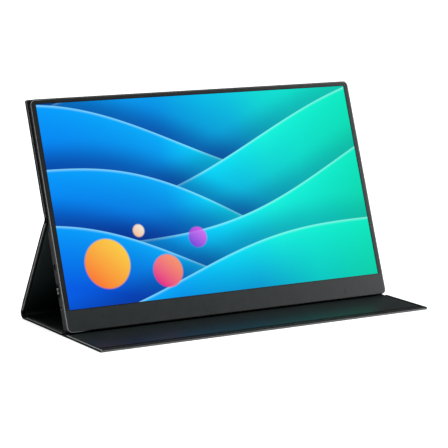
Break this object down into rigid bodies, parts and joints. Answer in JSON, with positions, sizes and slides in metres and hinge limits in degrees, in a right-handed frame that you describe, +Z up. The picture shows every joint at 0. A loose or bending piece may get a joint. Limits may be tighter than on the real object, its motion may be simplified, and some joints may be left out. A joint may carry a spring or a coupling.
{
  "type": "portable monitor",
  "caption": "Slim flat-panel monitor standing in a folding cover, with hinged cover panels, a magnet-held screen, a rocking jog wheel and a power button.",
  "frame": {"origin": "on the table, in the middle of the ground that the folded cover takes up", "axes": "+X to the right of someone facing the screen, +Y away from them, +Z up"},
  "size_m": [0.3586, 0.163, 0.2102],
  "materials": {
    "cover_skin": "smooth faux leather, turned over the edges",
    "cover_lining": "fine brushed lining",
    "cover_board": "plain fibreboard",
    "magnet": "bright nickel plate",
    "bezel": "fine satin texture",
    "housing": "fine satin texture",
    "screen_glass": "lit picture under anti-glare glass",
    "film": "pearly optical film",
    "light_guide": "clear acrylic",
    "led_white": "white strip with yellow chips",
    "sheet_steel": "zinc-plated",
    "circuit_board": "green solder mask",
    "ribbon": "amber film",
    "chip": "moulded resin",
    "aluminium": "satin",
    "speaker": "box with a paper cone",
    "port_metal": "plated steel",
    "port_plastic": "moulded",
    "jog_metal": "anodised",
    "button": "moulded",
    "screw": "black zinc"
  },
  "bodies": {
    "base": {"base_panel_skin": "cover_skin", "base_panel_board": "cover_board", "base_panel_lining": "cover_lining", "crease_strip": "cover_lining", "spine_strip": "cover_skin"},
    "flap": {"front_flap_skin": "cover_skin", "front_flap_board": "cover_board", "front_flap_lining": "cover_lining"},
    "leg": {"leg_panel_skin": "cover_skin", "leg_panel_board": "cover_board", "leg_panel_lining": "cover_lining", "fold_strip": "cover_skin"},
    "back": {"back_panel_skin": "cover_skin", "back_panel_board": "cover_board", "back_panel_lining": "cover_lining", "holding_magnets": "magnet"},
    "jog_plunger": {"jog_plunger": "jog_metal"},
    "jog_wheel": {"jog_wheel": "jog_metal"},
    "power_button": {"power_button": "button"},
    "monitor": {"front_frame": "bezel", "lcd_panel": "screen_glass", "diffuser_films": "film", "light_guide": "light_guide", "led_strip": "led_white", "reflector_sheet": "film", "panel_tray": "sheet_steel", "driver_board": "circuit_board", "display_ribbon": "ribbon", "rear_shell": "housing", "main_board": "circuit_board", "key_board": "circuit_board", "key_cable": "ribbon", "picture_processor": "chip", "heat_spreader": "aluminium", "left_speaker": "speaker", "right_speaker": "speaker", "audio_jack": "port_plastic", "usb_c_port_lower": "port_metal", "usb_c_port_upper": "port_metal", "mini_hdmi_port": "port_metal", "jog_switch": "port_plastic", "power_switch": "port_metal", "steel_plates": "sheet_steel", "housing_screws": "screw"}
  },
  "joints": [
    {"name": "flap_crease", "type": "hinge", "parent": "base", "child": "flap", "pos_m": [0, -0.01393, 0.0007], "axis": [-1, 0, 0], "range_deg": [0, 30], "deforming": ["crease_strip"]},
    {"name": "rear_fold", "type": "hinge", "parent": "base", "child": "leg", "pos_m": [0, 0.0801, 0.00332], "axis": [-1, 0, 0], "range_deg": [0, 90], "deforming": ["spine_strip"]},
    {"name": "back_fold", "type": "hinge", "parent": "leg", "child": "back", "pos_m": [0, 0.02816, 0.10274], "axis": [-1, 0, 0], "range_deg": [0, 110], "deforming": ["fold_strip"]},
    {"name": "monitor_release", "type": "slide", "parent": "back", "child": "monitor", "axis": [0, -0.9403, 0.3404], "range_m": [0, 0.15]},
    {"name": "jog_press", "type": "slide", "parent": "monitor", "child": "jog_plunger", "axis": [1, 0, 0], "range_m": [0, 0.0003], "stiffness_N_per_m": 800, "springref_m": -0.0005},
    {"name": "jog_rock", "type": "hinge", "parent": "jog_plunger", "child": "jog_wheel", "pos_m": [-0.17675, 0.004, 0.03981], "axis": [0, 0.9403, -0.3404], "range_deg": [-6, 6], "stiffness_Nm_per_rad": 0.02},
    {"name": "power_press", "type": "slide", "parent": "monitor", "child": "power_button", "axis": [1, 0, 0], "range_m": [0, 0.0004], "stiffness_N_per_m": 800, "springref_m": -0.0005}
  ]
}
